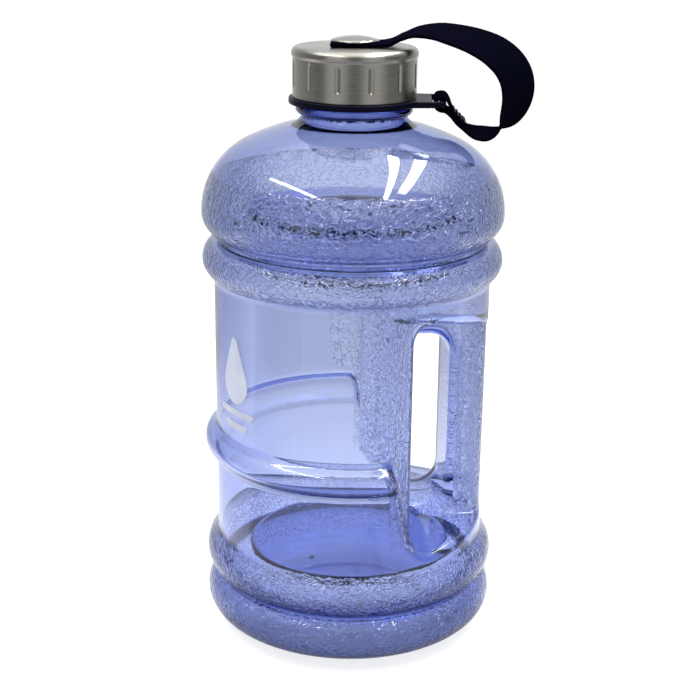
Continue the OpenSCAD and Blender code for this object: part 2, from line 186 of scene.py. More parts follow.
def pocket_field(x, y, z):
    """Both grip pockets, less the column that is left standing in them."""
    side = np.abs(y)
    low = GAP_LOW - FLOOR_FALL * side / POCKET_SIDE
    high = GAP_HIGH + ROOF_RISE * side / POCKET_SIDE
    mid, half = (low + high) / 2, (high - low) / 2
    qx = np.abs(x - GAP_IN - CREST) - CREST + GAP_ROUND
    qz = np.abs(z - mid) - half + GAP_ROUND
    pocket = np.hypot(np.maximum(qx, 0), np.maximum(qz, 0))
    pocket = pocket + np.minimum(np.maximum(qx, qz), 0) - GAP_ROUND
    # flat facet from the wall into the pocket, cut off on the slant below
    nx, ny = FOLD[1] - FACET_EDGE[1], FACET_EDGE[0] - FOLD[0]
    size = np.hypot(nx, ny)
    plane = (nx * FOLD[0] + ny * FOLD[1] - nx * x - ny * side) / size
    run, fall = FACET_EDGE[0] - FOLD[0], FACET_FOLD_LOW - FACET_LOW
    slant = (FACET_FOLD_LOW - (x - FOLD[0]) * fall / run - z) * run / np.hypot(run, fall)
    facet = np.maximum(np.maximum(plane, x - GAP_IN - 6), np.maximum(z - high, FACET_LOW - z))
    facet = smax(facet, np.maximum(slant, 38 - side), 1.5)
    cut = smin(pocket, facet, 1.5)
    # column: a rounded bar, flared into the roof and the floor by the gap's own corners
    bar = rect(x, y, GAP_IN, COLUMN_R, -COLUMN_HALF, COLUMN_HALF, 8.0)
    gap = rect(x, z, -CREST, GAP_OUT, GAP_LOW, GAP_HIGH, GAP_ROUND)
    column = smax(bar, -gap, 9.0)
    return smax(cut, -column, 2.0)


def body_field(p):
    """The jug's outside without its neck."""
    x, y, z = p
    r = np.hypot(x, y)
    d = smin(revolved(r, z), rib_field(x, y, z, r), 3.0)
    return smax(d, -pocket_field(x, y, z), 3.0)


def outer_field(p):
    """The whole outside: body, neck and the bead round the neck."""
    x, y, z = p
    r = np.hypot(x, y)
    neck = rect(r, z, -NECK_R, NECK_R, SHOULDER, 2 * LIP)
    d = smin(body_field(p), neck, 6.0)
    bead = rect(r, z, -BEAD_R, BEAD_R, BEAD_Z, BEAD_Z + BEAD_H, BEAD_H / 2 - 0.1)
    return smin(d, bead, 0.8)


def inner_field(p):
    """The inside. The wall is thicker in the two rings at the foot, as it is blown."""
    x, y, z = p
    r = np.hypot(x, y)
    bore = rect(r, z, -MOUTH_R, MOUTH_R, SHOULDER, 2 * LIP)
    thick = np.clip((44 - z) / 12, 0, 1) * smoothstep(r, 46, 58)
    return smin(body_field(p) + WALL + FOOT_THICKENING * thick, bore, 4.0)


# ---------------------------------------------------------------- meshing a field

def gradient(field, p, step=0.02):
    """A field's gradient by central differences."""
    g = np.empty_like(p)
    for k in range(3):
        shift = np.zeros((3, 1))
        shift[k] = step
        g[k] = (field(p + shift) - field(p - shift)) / (2 * step)
    return g


def project(field, p, rounds):
    """Moves points onto the field's surface along its own gradient."""
    for _ in range(rounds):
        g = gradient(field, p)
        p = p - field(p) * g / np.maximum((g * g).sum(0), 0.05)
    return p


def surface_net(field, step):
    """Quads over a field's zero surface up to the lip, where it is left open.
    Returns vertices (n, 3), quads (m, 4) and the vertices on the lip's edge."""
    edge = CREST + 2 * step
    xs = np.arange(-edge, edge + step, step)
    layers = int(np.ceil((LIP + 3 * step) / step)) + 3
    zs = LIP + (np.arange(layers) - layers + 3.5) * step
    grid = np.array(np.meshgrid(xs, xs, zs, indexing="ij")).reshape(3, -1)
    f = np.concatenate([field(part) for part in np.array_split(grid, 12, axis=1)])
    f = f.reshape(len(xs), len(xs), len(zs))
    f[:, :, -1] = 1
    inside = f < 0
    total = np.zeros(tuple(n - 1 for n in f.shape) + (3,))
    count = np.zeros(tuple(n - 1 for n in f.shape))
    crossings = []
    for axis in range(3):
        a = [slice(None)] * 3
        b = [slice(None)] * 3
        a[axis], b[axis] = slice(None, -1), slice(1, None)
        fa, fb = f[tuple(a)], f[tuple(b)]
        i = np.argwhere(inside[tuple(a)] != inside[tuple(b)])
        va, vb = fa[tuple(i.T)], fb[tuple(i.T)]
        at = i.astype(float)
        at[:, axis] += va / (va - vb)
        others = [k for k in range(3) if k != axis]
        around = []
        for du, dv in ((0, 0), (-1, 0), (-1, -1), (0, -1)):
            cell = i.copy()
            cell[:, others[0]] += du
            cell[:, others[1]] += dv
            around.append(cell)
            np.add.at(total, tuple(cell.T), at)
            np.add.at(count, tuple(cell.T), 1)
        flip = (va < 0) != (axis == 1)
        crossings.append((np.stack(around, 1), flip))
    used = count > 0
    index = np.full(count.shape, -1)
    index[used] = np.arange(used.sum())
    mean = total[used] / count[used][:, None]
    points = np.stack([xs[0] + mean[:, 0] * step, xs[0] + mean[:, 1] * step,
                       zs[0] + mean[:, 2] * step], 1)
    quads = []
    for around, flip in crossings:
        q = index[tuple(np.moveaxis(around, 2, 0))]
        quads.append(np.where(flip[:, None], q, q[:, ::-1]))
    quads = np.concatenate(quads)
    top_cell = int(round((LIP - zs[0]) / step - 0.5))
    layer = np.argwhere(used)[:, 2]
    quads = quads[(layer[quads] <= top_cell).all(1)]
    return points, quads, layer == top_cell


def relax(points, quads, rounds, hold):
    """Evens out the quads: each vertex moves towards its neighbours' mean."""
    pairs = np.concatenate([quads[:, [k, (k + 1) % 4]] for k in range(4)])
    n = len(points)
    for _ in range(rounds):
        total = np.zeros_like(points)
        weight = np.bincount(pairs[:, 0], minlength=n) + np.bincount(pairs[:, 1], minlength=n)
        for k in range(3):
            total[:, k] = (np.bincount(pairs[:, 0], points[pairs[:, 1], k], n)
                           + np.bincount(pairs[:, 1], points[pairs[:, 0], k], n))
        mean = total / np.maximum(weight, 1)[:, None]
        points = np.where(hold[:, None], points, points + 0.5 * (mean - points))
    return points


def field_surface(field, step):
    """A field's surface as even quads. Returns vertices, quads, normals and the vertices
    on the lip's edge."""
    points, quads, lip = surface_net(field, step)
    for _ in range(3):
        points = relax(points, quads, 2, lip)
        points = project(field, points.T, 2).T
    points[lip, 2] = LIP
    used = np.unique(quads)
    new = np.full(len(points), -1)
    new[used] = np.arange(len(used))
    points, quads, lip = points[used], new[quads], lip[used]
    normals = gradient(field, points.T).T
    normals /= np.linalg.norm(normals, axis=1)[:, None]
    return points, quads, normals, lip


# ---------------------------------------------------------------- pieces

def add_piece(name, verts, faces, body, material, normals=None):
    """A mesh object from millimetre vertices that rides on a body."""
    mesh = bpy.data.meshes.new(name)
    mesh.from_pydata((np.asarray(verts) * MM).tolist(), [], [list(f) for f in faces])
    mesh.validate()
    mesh.update()
    obj = bpy.data.objects.new(name, mesh)
    bpy.context.scene.collection.objects.link(obj)
    mesh.polygons.foreach_set("use_smooth", [True] * len(mesh.polygons))
    if normals is not None:
        mesh.normals_split_custom_set_from_vertices(np.asarray(normals).tolist())
    mesh.materials.append(material)
    if body:
        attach(obj, body)
    return obj


def face_outwards(obj):
    """Turns all the faces of a closed mesh outwards."""
    bm = bmesh.new()
    bm.from_mesh(obj.data)
    bmesh.ops.recalc_face_normals(bm, faces=bm.faces)
    bm.to_mesh(obj.data)
    bm.free()


def grid_faces(rows, cols, close_rows=False, close_cols=False, flip=False):
    """Quads over a grid of rows x cols vertices stored row by row."""
    faces = []
    for i in range(rows if close_rows else rows - 1):
        for j in range(cols if close_cols else cols - 1):
            a, b = i * cols + j, i * cols + (j + 1) % cols
            c, d = ((i + 1) % rows) * cols + (j + 1) % cols, ((i + 1) % rows) * cols + j
            faces.append((d, c, b, a) if flip else (a, b, c, d))
    return faces


def arc(cx, cz, r, start, end, count):
    """Points on an arc, angles in degrees from +r towards +z."""
    t = np.radians(np.linspace(start, end, count))
    return [(cx + r * np.cos(a), cz + r * np.sin(a)) for a in t]


def revolve(profile, segments, shape=None):
    """Closed (r, z) profile, anticlockwise, turned about Z. shape(r, z, angle) gives the
    inward move of each point."""
    rows, cols = len(profile), segments
    angle = np.arange(cols) * TAU / cols
    r = np.repeat(np.array(profile)[:, :1], cols, 1)
    z = np.repeat(np.array(profile)[:, 1:], cols, 1)
    a = np.repeat(angle[None], rows, 0)
    if shape is not None:
        r = r - shape(r, z, a)
    verts = np.stack([r * np.cos(a), r * np.sin(a), z], -1).reshape(-1, 3)
    return verts, grid_faces(rows, cols, close_rows=True, close_cols=True, flip=True)


# ---------------------------------------------------------------- materials

def add_node(tree, kind, inputs=None, **props):
    """Adds a node to a tree. An input is either another node's socket or a value."""
    node = tree.nodes.new(kind)
    for key, value in props.items():
        setattr(node, key, value)
    for key, value in (inputs or {}).items():
        if isinstance(value, bpy.types.NodeSocket):
            tree.links.new(value, node.inputs[key])
        else:
            node.inputs[key].default_value = value
    return node


def set_stops(ramp, stops):
    """Fills a colour ramp from (position, (red, green, blue)) pairs."""
    elements = ramp.color_ramp.elements
    while len(elements) < len(stops):
        elements.new(0.5)
    for element, (at, colour) in zip(elements, stops):
        element.position = at
        element.color = (*colour, 1)


class Look:
    """Builds one node material."""

    def __init__(self, name, **values):
        self.material = bpy.data.materials.new(name)
        self.material.use_nodes = True
        self.tree = self.material.node_tree
        self.tree.nodes.clear()
        self.out = self.tree.nodes.new("ShaderNodeOutputMaterial")
        self.shader = self.add("ShaderNodeBsdfPrincipled", values)
        self.tree.links.new(self.shader.outputs[0], self.out.inputs["Surface"])
        self.where = self.add("ShaderNodeTexCoord").outputs["Object"]

    def add(self, kind, inputs=None, **props):
        return add_node(self.tree, kind, inputs, **props)

    def math(self, operation, a, b=0.0, c=0.0):
        return self.add("ShaderNodeMath", {0: a, 1: b, 2: c}, operation=operation).outputs[0]

    def noise(self, scale, detail=2.0, where=None, roughness=0.5, distortion=0.0):
        return self.add("ShaderNodeTexNoise", {"Vector": where or self.where, "Scale": scale,
                        "Detail": detail, "Roughness": roughness,
                        "Distortion": distortion}).outputs["Fac"]

    def ramp(self, fac, *stops):
        """Colour from a value between 0 and 1, by (position, colour) stops."""
        node = self.add("ShaderNodeValToRGB", {"Fac": fac})
        set_stops(node, stops)
        return node.outputs["Color"]

    def span(self, value, low, high, to_low, to_high):
        """Maps low..high to to_low..to_high and holds it there."""
        return self.add("ShaderNodeMapRange", {"Value": value, "From Min": low, "From Max": high,
                        "To Min": to_low, "To Max": to_high}).outputs["Result"]

    def round_the_axis(self, per_metre, per_turn):
        """Coordinates for marks that run round the Z axis."""
        x, y, z = self.add("ShaderNodeSeparateXYZ", {0: self.where}).outputs
        radius = self.math("SQRT", self.math("MULTIPLY_ADD", x, x, self.math("MULTIPLY", y, y)))
        turn = self.math("DIVIDE", self.math("ARCTAN2", y, x), TAU)
        return self.add("ShaderNodeCombineXYZ", {
            "X": self.math("MULTIPLY", self.math("ADD", z, radius), per_metre),
            "Y": self.math("MULTIPLY", turn, per_turn)}).outputs[0]

    def link(self, socket, value):
        self.tree.links.new(value, self.shader.inputs[socket])

    def bump(self, height, distance):
        """Links a bump of the given depth in metres, and returns its normal."""
        normal = self.add("ShaderNodeBump", {"Height": height, "Distance": distance,
                          "Strength": 1.0}).outputs["Normal"]
        self.link("Normal", normal)
        return normal


def plastic_look():
    """Tinted see-through plastic, with a short worm-like grain where pebble is 1. The base colour
    turns darker blue where the wall is seen edge on and on the grain's slopes. This is partly the
    plastic's own tint over a longer path, and partly painted shade that stands in for dark edges
    and dark strokes."""
    look = Look("blue_plastic", **{"Roughness": 0.03, "IOR": 1.5, "Transmission Weight": 1.0})
    worm = look.math("ABSOLUTE", look.math("SUBTRACT", look.noise(470.0, 1.0, distortion=0.5), 0.5))
    worm = look.span(worm, 0.0, 0.10, 0.0, 1.0)
    mask = look.add("ShaderNodeAttribute", attribute_name="pebble").outputs["Fac"]
    height = look.math("MULTIPLY", look.math("MULTIPLY_ADD", look.noise(300.0, 1.0), 1.2, worm),
                       mask)
    wave = look.math("MULTIPLY", look.noise(22.0, 2.0), 0.9)
    normal = look.bump(look.math("ADD", height, wave), 0.00022)
    # partly painted shade: the base colour darkens at grazing view and, through the bump normal, on
    # the grain's slopes
    edge_on = look.add("ShaderNodeLayerWeight", {"Blend": 0.5, "Normal": normal})
    look.link("Base Color", look.ramp(edge_on.outputs["Facing"], (0.15, (0.98, 0.985, 1.0)),
              (0.40, (0.86, 0.875, 0.975)), (0.75, (0.78, 0.81, 0.96))))
    look.link("Roughness", look.math("MULTIPLY_ADD", look.noise(60.0, 3.0), 0.03,
                                     look.math("MULTIPLY_ADD", mask, 0.03, 0.01)))
    volume = look.add("ShaderNodeVolumeAbsorption", {"Color": (0.42, 0.52, 0.83, 1),
                                                     "Density": 450.0})
    look.tree.links.new(volume.outputs[0], look.out.inputs["Volume"])
    return look.material


def steel_look(name, colour, roughness, brush):
    """Steel turned on a lathe: brush lines per metre run round the axis."""
    look = Look(name, Metallic=1.0, Anisotropic=0.6, **{"Anisotropic Rotation": 0.25,
                                                        "Base Color": (*colour, 1)})
    lines = look.noise(1.0, 3.0, look.round_the_axis(brush, 3.0), 0.6)
    broad = look.noise(70.0, 2.0)
    look.link("Base Color", look.ramp(look.math("MULTIPLY_ADD", lines, 0.6,
              look.math("MULTIPLY", broad, 0.4)),
              (0.3, tuple(0.86 * c for c in colour)), (0.75, colour)))
    look.link("Roughness", look.span(lines, 0.3, 0.7, roughness * 0.85, roughness * 1.2))
    look.bump(lines, 0.00003)
    turn = look.add("ShaderNodeTangent", direction_type="RADIAL", axis="Z")
    look.link("Tangent", turn.outputs[0])
    return look.material


def moulded_look(name, colour, roughness, grain=0.00003, **values):
    """Moulded plastic or rubber: faint cloudiness and a fine moulded grain."""
    look = Look(name, **{"Base Color": (*colour, 1), **values})
    cloud = look.noise(45.0, 3.0)
    look.link("Base Color", look.ramp(cloud, (0.35, tuple(0.82 * c for c in colour)),
                                      (0.7, colour)))
    fine = look.noise(2400.0, 2.0)
    look.link("Roughness", look.math("MULTIPLY_ADD", cloud, 0.12, roughness - 0.04))
    look.bump(fine, grain)
    return look.material


def webbing_look():
    """Plain woven webbing. The weave attribute holds millimetres along and across."""
    look = Look("black_webbing", **{"Sheen Weight": 0.003, "Sheen Roughness": 0.5,
                                    "Specular IOR Level": 0.0})
    weave = look.add("ShaderNodeAttribute", attribute_name="weave").outputs["Vector"]
    along, across, _ = look.add("ShaderNodeSeparateXYZ", {0: weave}).outputs
    u = look.math("MULTIPLY", along, np.pi / 1.1)
    v = look.math("MULTIPLY", across, np.pi / 0.9)
    shift = look.math("MULTIPLY", look.math("ROUND", look.math("DIVIDE", across, 0.9)), np.pi / 2)
    yarn = look.math("ABSOLUTE", look.math("SINE", look.math("ADD", u, shift)))
    rib = look.math("ABSOLUTE", look.math("SINE", v))
    height = look.math("MULTIPLY", look.math("POWER", yarn, 0.6), look.math("POWER", rib, 0.5))
    fluff = look.noise(3000.0, 2.0)
    look.bump(look.math("MULTIPLY_ADD", fluff, 0.25, height), 0.00022)
    # painted shade: the base colour is darker down between the yarns and lighter on the yarn tops,
    # and the fluff adds random tone
    look.link("Base Color", look.ramp(look.math("MULTIPLY_ADD", fluff, 0.3, height),
              (0.1, (0.0004, 0.0004, 0.002)), (0.9, (0.002, 0.002, 0.007))))
    look.link("Roughness", look.span(fluff, 0.3, 0.7, 0.55, 0.75))
    return look.material


PLASTIC = plastic_look()
STEEL = steel_look("brushed_steel", (0.335, 0.32, 0.28), 0.28, 9000.0)
POLISHED = steel_look("polished_steel", (0.34, 0.33, 0.29), 0.12, 5000.0)
BLACK = moulded_look("black_moulding", (0.002, 0.002, 0.010), 0.34, **{"Specular IOR Level": 0.06})
LINER = moulded_look("natural_liner", (0.80, 0.80, 0.78), 0.4, **{"Subsurface Weight": 0.2,
                     "Subsurface Radius": (0.002, 0.002, 0.002)})
RUBBER = moulded_look("white_gasket", (0.82, 0.81, 0.78), 0.6)
INK = moulded_look("pale_ink", (0.62, 0.66, 0.80), 0.45, 0.00002)
THREAD = moulded_look("black_thread", (0.010, 0.010, 0.022), 0.55, 0.00008)
WEBBING = webbing_look()


# ---------------------------------------------------------------- bottle

def lip_strip(points, outer, inner):
    """Triangles from the outer edge of the lip to the inner one, facing up."""
    def sort(loop):
        return loop[np.argsort(np.arctan2(points[loop, 1], points[loop, 0]))]

    def turn(v):
        return np.arctan2(points[v, 1], points[v, 0])

    a, b = sort(outer), sort(inner)
    i = j = 0
    faces = []
    while i < len(a) or j < len(b):
        ahead_a = turn(a[(i + 1) % len(a)]) + TAU * (i + 1 >= len(a))
        ahead_b = turn(b[(j + 1) % len(b)]) + TAU * (j + 1 >= len(b))
        if j >= len(b) or (i < len(a) and ahead_a < ahead_b):
            faces.append((a[i % len(a)], a[(i + 1) % len(a)], b[j % len(b)]))
            i += 1
        else:
            faces.append((b[j % len(b)], a[i % len(a)], b[(j + 1) % len(b)]))
            j += 1
    return faces


def band(x, rise, fall):
    """1 between two soft edges, each given by where it starts and ends."""
    return smoothstep(x, *rise) * (1 - smoothstep(x, *fall))


def pebble_mask(points):
    """1 where the mould is grained: the rings, the shoulder's lower half, the flats
    beside the grip and the outside of the grip column."""
    x, y, z = points.T
    r = np.hypot(x, y)
    shoulder = band(z, (182, 183.5), (205.6, 206.6))
    ring = smoothstep(r, 60.8, 61.8) * band(z, (160, 162), (175.5, 177))
    low = smoothstep(r, 58.4, 59.8) * band(z, (5, 8), (43, 45))
    corner = np.where(x < FOLD[0], FACET_FOLD_LOW + 1.1 * np.maximum(2 - x, 0), FACET_LOW)
    flat = band(x, (-4.2, -3.4), (19.0, 19.8)) * band(z, (corner, corner + 0.8), (161, 162.5))
    flat = flat * smoothstep(np.abs(y), 46, 48)
    grip = smoothstep(x, 44.5, 46) * band(z, (50, 56), (146, 156))
    grip = grip * (1 - smoothstep(np.abs(y), 20.2, 20.8))
    return np.maximum.reduce([shoulder, ring, low, flat, grip])


def make_bottle():
    """The blown wall, outside and inside, joined by the lip."""
    step = 1.4
    out_points, out_quads, out_normals, out_lip = field_surface(outer_field, step)
    in_points, in_quads, in_normals, in_lip = field_surface(inner_field, step * 1.35)
    shift = len(out_points)
    points = np.concatenate([out_points, in_points])
    normals = np.concatenate([out_normals, -in_normals])
    faces = out_quads.tolist() + (in_quads[:, ::-1] + shift).tolist()
    faces += lip_strip(points, np.flatnonzero(out_lip), np.flatnonzero(in_lip) + shift)
    bottle = add_piece("bottle_wall", points, faces, "bottle", PLASTIC,
                       normals=normals)
    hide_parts("jug_body")
    mask = pebble_mask(points)
    mask[shift:] = 0
    attribute = bottle.data.attributes.new("pebble", "FLOAT", "POINT")
    attribute.data.foreach_set("value", mask.astype(np.float32))


def make_thread():
    """The ridge of the neck's thread, fading out at both ends."""
    root, tip = NECK_R - 0.3, 23.0
    base, crest = 1.8, 0.8
    count = int(72 * THREAD_TURNS)
    verts = []
    for i in range(count + 1):
        t = i / count
        a = TAU * THREAD_TURNS * t
        fade = min(1, 0.1 + 8 * min(t, 1 - t))
        r = root + (tip - root) * fade
        flank = r - (tip - root) * 0.15
        z = THREAD_Z + THREAD_PITCH * THREAD_TURNS * t
        for radius, rise in ((root, -base / 2), (flank, -crest / 2 - 0.08),
                             (r, -crest / 2 + 0.12), (r, crest / 2 - 0.12),
                             (flank, crest / 2 + 0.08), (root, base / 2)):
            verts.append((radius * np.cos(a), radius * np.sin(a), z + rise))
    faces = grid_faces(count + 1, 6, close_cols=True, flip=True)
    faces += [tuple(range(6))[::-1], tuple(range(6 * count, 6 * count + 6))]
    add_piece("bottle_thread", verts, faces, "bottle", PLASTIC)


make_bottle()
make_thread()


# ---------------------------------------------------------------- lid

LID_Z, LID_TOP = LID_LOW[2], LID_HIGH[2]
LID_R, LID_SHOULDER_R, SKIRT, CORNER, STEEL_T = 26.1, LID_HIGH[0], 16.6, 2.6, 0.5
DIMPLES, DIMPLE_H, DIMPLE_LOW, DIMPLE_PHASE = 12, 11.5, 4.0, np.radians(7.3)
DIMPLE_R, DIMPLE_DEPTH = 1.35, 0.6
RIVET_HOLE_R, SHANK_R, RIVET_HEAD, RIVET_DOME = 3.05, 3.0, 2.4, 1.6


def dimple_depth(r, z, angle):
    """Inward press of the skirt: a short upright groove at each dimple."""
    off = (angle - DIMPLE_PHASE + np.pi / DIMPLES) % (TAU / DIMPLES) - np.pi / DIMPLES
    middle = LID_Z + DIMPLE_LOW + DIMPLE_H / 2
    past = np.maximum(np.abs(z - middle) - DIMPLE_H / 2 + 1.2, 0)
    s = np.clip(np.hypot(off * r, past) / DIMPLE_R, 0, 1)
    return DIMPLE_DEPTH * (0.5 + 0.5 * np.cos(np.pi * s)) * (r > LID_R - 1)


def make_lid():
    """The pressed steel shell, from its outside round to its inside."""
    base, top = LID_Z, LID_TOP
    step = base + SKIRT
    outside = arc(LID_R - 0.25, base + 0.25, 0.25, -90, 0, 5)
    outside += [(LID_R, z) for z in np.linspace(base + 0.6, step - 0.3, 40)]
    outside += [(LID_R + 0.08, step), (LID_R + 0.3, step + 0.35)]
    outside += arc(LID_SHOULDER_R - 0.3, step + 0.85, 0.3, -30, 0, 3)
    outside += arc(LID_SHOULDER_R - CORNER, top - CORNER, CORNER, 0, 90, 14)
    outside += [(r, top) for r in (20, 14, 8, RIVET_HOLE_R)]
    inside = [(RIVET_HOLE_R, top - STEEL_T), (12, top - STEEL_T)]
    inside += arc(LID_SHOULDER_R - CORNER, top - CORNER, CORNER - STEEL_T, 90, 0, 6)
    inside += [(LID_SHOULDER_R - STEEL_T, step + 0.9), (LID_R - STEEL_T, step - 0.1)]
    inside += [(LID_R - STEEL_T, z) for z in np.linspace(step - 1, base + 0.4, 8)]
    inside += [(LID_R - STEEL_T + 0.1, base)]
    verts, faces = revolve(outside + inside, 720, dimple_depth)
    lid = add_piece("lid_steel_shell", verts, faces, "lid", STEEL)
    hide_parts("lid_shell")


def make_rivet():
    """Domed head, shank and the peened tail under it."""
    high, low, r = RIVET_HIGH[2], RIVET_LOW[2], RIVET_HIGH[0]
    head, shank = high - RIVET_HEAD, SHANK_R
    crown = (r ** 2 + RIVET_DOME ** 2) / (2 * RIVET_DOME)
    rim = [(r - 0.5, head)] + arc(r - 0.35, head + 0.4, 0.35, -80, 60, 8)
    top = [(x, high - crown + np.sqrt(crown ** 2 - x * x)) for x in np.linspace(r - 0.45, 0.01, 24)]
    down = [(0.01, low), (shank + 1.0, low), (shank + 1.2, low + 0.2), (shank + 1.2, low + 0.55),
            (shank, low + 0.6), (shank, head), (shank + 2, head)]
    verts, faces = revolve(rim + top + down, 160)
    rivet = add_piece("rivet_head", verts, faces, "rivet", POLISHED)
    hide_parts("strap_rivet")


make_lid()
make_rivet()


# ---------------------------------------------------------------- neck ring and strap

STRAP_TURN = np.radians(-9)
WEB_W, WEB_T = 20.0, 1.4


def turned(points):
    """Swings points from the strap's own plane to where it leaves the neck."""
    p = np.array(points, float)
    c, s = np.cos(STRAP_TURN), np.sin(STRAP_TURN)
    return np.stack([c * p[:, 0] - s * p[:, 1], s * p[:, 0] + c * p[:, 1], p[:, 2]], 1)


def rounded_loop(corners, spacing=0.6):
    """Closed outline with arcs at its corners, from (x, y, radius)."""
    out = []
    n = len(corners)
    for i in range(n):
        p = np.array(corners[i][:2], float)
        a = np.array(corners[i - 1][:2]) - p
        b = np.array(corners[(i + 1) % n][:2]) - p
        a, b = a / np.linalg.norm(a), b / np.linalg.norm(b)
        half = np.arccos(np.clip(a @ b, -1, 1)) / 2
        r = corners[i][2]
        start, end = p + a * r / np.tan(half), p + b * r / np.tan(half)
        centre = p + (a + b) / np.linalg.norm(a + b) * r / np.sin(half)
        t0 = np.arctan2(*(start - centre)[::-1])
        sweep = (np.arctan2(*(end - centre)[::-1]) - t0 + np.pi) % TAU - np.pi
        steps = max(3, int(abs(sweep) * r / spacing) + 2)
        out += [centre + r * np.array([np.cos(t0 + sweep * k), np.sin(t0 + sweep * k)])
                for k in np.linspace(0, 1, steps)]
    return np.array(out)


def offset_loop(loop, distance):
    """Moves an anticlockwise loop's points outwards."""
    along = np.roll(loop, -1, 0) - np.roll(loop, 1, 0)
    along /= np.linalg.norm(along, axis=1)[:, None]
    return loop + distance * np.stack([along[:, 1], -along[:, 0]], 1)


def make_ring():
    """Flat ring with a slotted tongue and rounded edges."""
    low, high = RING_LOW[2], RING_HIGH[2]
    inner_r, outer_r, end, half = 22.2, 27.7, 38.2, 12.4
    near, far, slot_half, edge_round = 32.6, 35.6, 10.7, 0.55
    join = np.arcsin((half + 1.2) / outer_r)
    outer = [(outer_r * np.cos(t), outer_r * np.sin(t))
             for t in np.linspace(join, TAU - join, 120)]
    fillet = 3.0
    tongue = rounded_loop([(outer_r * np.cos(join) - 8, -half, 0.1), (end, -half, 2.2),
                           (end, half, 2.2), (outer_r * np.cos(join) - 8, half, 0.1)])
    tongue = tongue[tongue[:, 0] > outer_r * np.cos(join) + fillet - 1]
    outer = np.array(outer + tongue.tolist())
    bore = np.array([(inner_r * np.cos(t), inner_r * np.sin(t))
                     for t in np.linspace(0, TAU, 120, endpoint=False)])
    slot = rounded_loop([(near, -slot_half, 0.8), (far, -slot_half, 0.8),
                         (far, slot_half, 0.8), (near, slot_half, 0.8)])
    rounds = [(edge_round * (1 - np.cos(t)), edge_round * (1 - np.sin(t)))
              for t in np.linspace(0, np.pi / 2, 5)]
    levels = [(high - drop, inset) for inset, drop in rounds[::-1]]
    levels += [(low + drop, inset) for inset, drop in rounds]
    verts, faces, caps = [], [], []
    for loop, sign in ((outer, -1), (bore, 1), (slot, 1)):
        start = len(verts)
        for z, inset in levels:
            verts += [(x, y, z) for x, y in offset_loop(loop, sign * inset)]
        rows, cols = len(levels), len(loop)
        faces += [tuple(start + v for v in f)
                  for f in grid_faces(rows, cols, close_cols=True, flip=sign < 0)]
        caps.append((start, start + (rows - 1) * cols, cols))
    for side in (0, 1):
        loops = [[Vector(verts[cap[side] + k]) for k in range(cap[2])] for cap in caps]
        index = [cap[side] + k for cap in caps for k in range(cap[2])]
        flat = [p for loop in loops for p in loop]
        edges, at = [], 0
        for loop in loops:
            edges += [(at + k, at + (k + 1) % len(loop)) for k in range(len(loop))]
            at += len(loop)
        _, _, tris, origin, _, _ = delaunay_2d_cdt([p.xy for p in flat], edges, [], 1, 1e-7)
        for tri in tris:
            ids = [index[origin[v][0]] for v in tri]
            mid = sum((Vector(verts[v]).xy for v in ids), Vector((0, 0))) / 3
            in_slot = near < mid.x < far and abs(mid.y) < slot_half
            if mid.length > inner_r - 0.3 and not in_slot:
                faces.append(tuple(ids) if side == 0 else tuple(ids[::-1]))
    ring = add_piece("neck_ring_moulding", turned(verts), faces, "strap", BLACK)
    face_outwards(ring)
    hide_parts("neck_ring")


# Middle of the webbing from its sewn end to under the rivet: x and z in its own plane, and
# how far it is turned about its own length, in degrees
WEB_PATH = [
    (46.6, 228.0, 0), (43.4, 230.7, 0), (40.8, 234.0, 0), (39.6, 237.0, 0),
    (38.2, 238.9, 0), (36.4, 239.3, 0), (34.6, 238.7, 0), (33.9, 236.8, 0),
    (34.4, 235.0, 0), (36.0, 234.1, 0), (38.0, 233.7, 0), (40.4, 231.9, 0),
    (43.0, 228.9, 0), (46.2, 226.2, 0), (51.5, 223.8, 10), (57.5, 223.9, 24),
    (62.9, 227.0, 38), (66.6, 232.6, 44), (68.4, 239.4, 45), (67.6, 246.4, 44),
    (64.0, 252.6, 42), (58.0, 257.6, 40), (50.4, 261.2, 36), (42.0, 263.7, 31),
    (33.4, 265.2, 25), (25.6, 264.9, 18), (19.6, 263.0, 10), (15.0, 260.8, 4),
    (11.4, 260.17, 0), (6.0, 260.17, 0), (0.0, 260.17, 0), (-10.0, 260.17, 0)]
WEB_LEAN = 0.42


def spline(values, per_step):
    """Catmull-Rom curve through the rows of values."""
    v = np.array(values, float)
    v = np.concatenate([2 * v[:1] - v[1:2], v, 2 * v[-1:] - v[-2:-1]])
    out = []
    for i in range(1, len(v) - 2):
        for t in np.arange(per_step) / per_step:
            a, b, c, d = v[i - 1], v[i], v[i + 1], v[i + 2]
            out.append(0.5 * (2 * b + (c - a) * t + (2 * a - 5 * b + 4 * c - d) * t * t
                              + (3 * b - a - 3 * c + d) * t ** 3))
    return np.array(out + [v[-2]])


def ribbon_frames(path):
    """Middle points, width directions and upward directions along the webbing."""
    p = np.stack([path[:, 0], np.zeros(len(path)), path[:, 1]], 1)
    t = np.gradient(p, axis=0)
    t /= np.linalg.norm(t, axis=1)[:, None]
    turn = np.radians(path[:, 2])
    w = np.stack([np.sin(turn), np.cos(turn), np.sin(turn) * WEB_LEAN], 1)
    w -= (w * t).sum(1)[:, None] * t
    w /= np.linalg.norm(w, axis=1)[:, None]
    n = np.cross(w, t)
    return p, w, n / np.linalg.norm(n, axis=1)[:, None]


